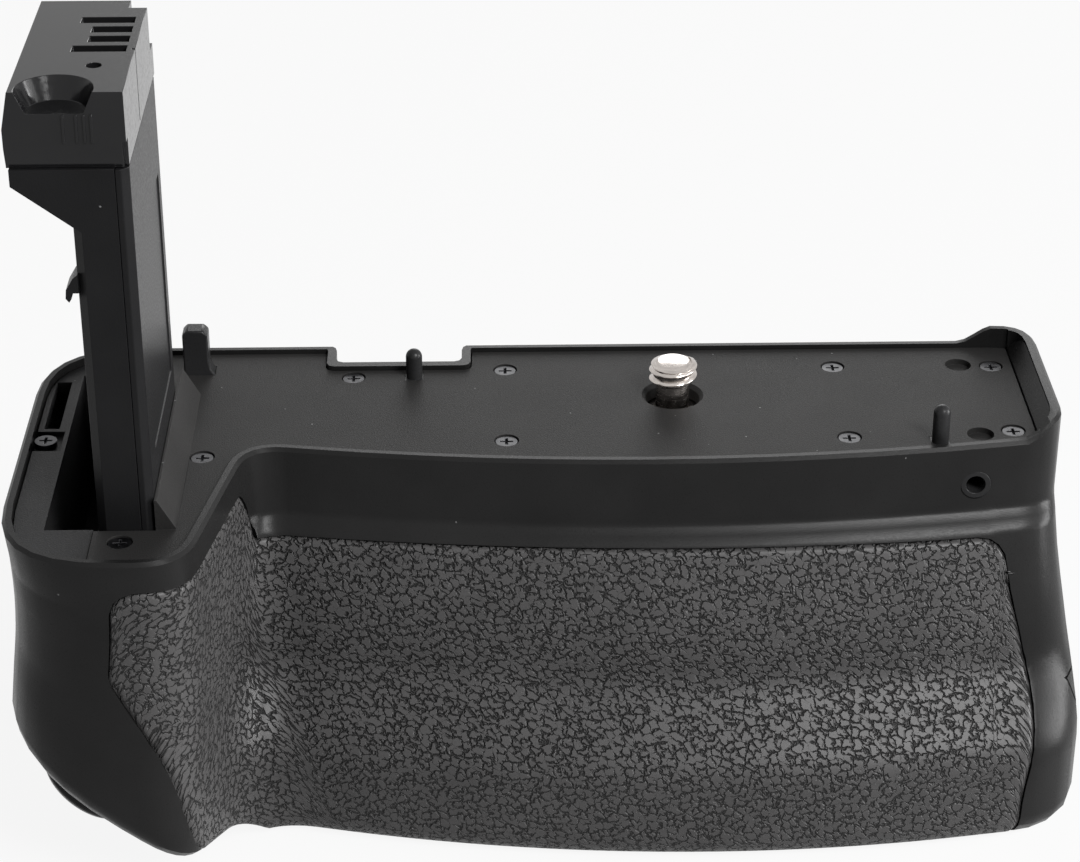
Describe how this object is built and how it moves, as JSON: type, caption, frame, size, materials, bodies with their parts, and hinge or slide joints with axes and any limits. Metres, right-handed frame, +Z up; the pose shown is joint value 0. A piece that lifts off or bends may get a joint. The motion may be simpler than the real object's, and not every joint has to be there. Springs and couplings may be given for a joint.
{
  "type": "camera battery grip",
  "caption": "Vertical battery grip for a camera: moulded housing with rubber finger belly, seat with captive tripod screw, tall contact tower, shutter release and pull-out battery tray.",
  "frame": {"origin": "on the axis of the camera screw, in the plane of the camera seat", "axes": "+X along the seat away from the tower, +Y to the rear, +Z up out of the seat along the screw"},
  "size_m": [0.1394, 0.0603, 0.109],
  "materials": {
    "case_plastic": "fine moulded grain, semi-matt black",
    "grip_rubber": "raised leather-like grain, matt black",
    "plate_plastic": "matt black with a fine grain",
    "frame_plastic": "matt black",
    "black_screw": "blackened, slightly bright on the edges",
    "pin_plastic": "satin black",
    "tower_plastic": "satin black",
    "cover_plastic": "satin black",
    "head_gloss": "polished black",
    "contact_metal": "gold flash",
    "screw_steel": "turned, nickel plated",
    "wheel_rubber": "matt black",
    "spring_steel": "drawn wire",
    "bridge_metal": "stamped",
    "board": "green lacquer",
    "collar_plastic": "satin black",
    "button_gloss": "polished black",
    "inner_plastic": "plain grey",
    "tray_plastic": "satin black",
    "key_plastic": "satin dark grey"
  },
  "bodies": {
    "body": {"main_case": "case_plastic", "grip_rubber": "grip_rubber", "top_plate": "plate_plastic", "pocket_frame": "frame_plastic", "plate_screws": "black_screw", "guide_pins": "pin_plastic", "door_post": "pin_plastic", "tower_body": "tower_plastic", "tower_cover": "cover_plastic", "tower_head": "head_gloss", "tower_contacts": "contact_metal", "wheel_bridge": "bridge_metal", "tripod_bush": "screw_steel", "remote_jack": "pin_plastic", "circuit_board": "board", "board_screws": "spring_steel", "shutter_collar": "collar_plastic", "shutter_spring": "spring_steel", "shutter_switch": "inner_plastic", "power_switch": "inner_plastic", "bay_contacts": "contact_metal"},
    "wheel": {"thumbwheel": "wheel_rubber", "screw_spring": "spring_steel"},
    "screw": {"camera_screw": "screw_steel"},
    "button": {"shutter_button": "button_gloss"},
    "power_slide": {"power_knob": "pin_plastic"},
    "tray": {"battery_tray": "tray_plastic", "tray_cap": "case_plastic", "tray_contacts": "contact_metal", "cap_screws": "black_screw"},
    "key": {"tray_key": "key_plastic"}
  },
  "joints": [
    {"name": "wheel_turn", "type": "hinge", "parent": "body", "child": "wheel", "pos_m": [0, 0, 0], "axis": [0, 0, 1], "continuous": true},
    {"name": "screw_float", "type": "slide", "parent": "wheel", "child": "screw", "axis": [0, 0, -1], "range_m": [0, 0.0044], "stiffness_N_per_m": 350, "springref_m": -0.002, "deforming": ["screw_spring"]},
    {"name": "shutter_press", "type": "slide", "parent": "body", "child": "button", "axis": [0.606, 0, 0.7955], "range_m": [0, 0.0012], "stiffness_N_per_m": 700, "springref_m": -0.0008, "deforming": ["shutter_spring"]},
    {"name": "power_slide", "type": "slide", "parent": "body", "child": "power_slide", "axis": [1, 0, 0], "range_m": [0, 0.003]},
    {"name": "tray_slide", "type": "slide", "parent": "body", "child": "tray", "axis": [1, 0, 0], "range_m": [0, 0.096]},
    {"name": "key_turn", "type": "hinge", "parent": "tray", "child": "key", "pos_m": [0.051, -0.0042, -0.03935], "axis": [1, 0, 0], "range_deg": [0, 90]}
  ]
}
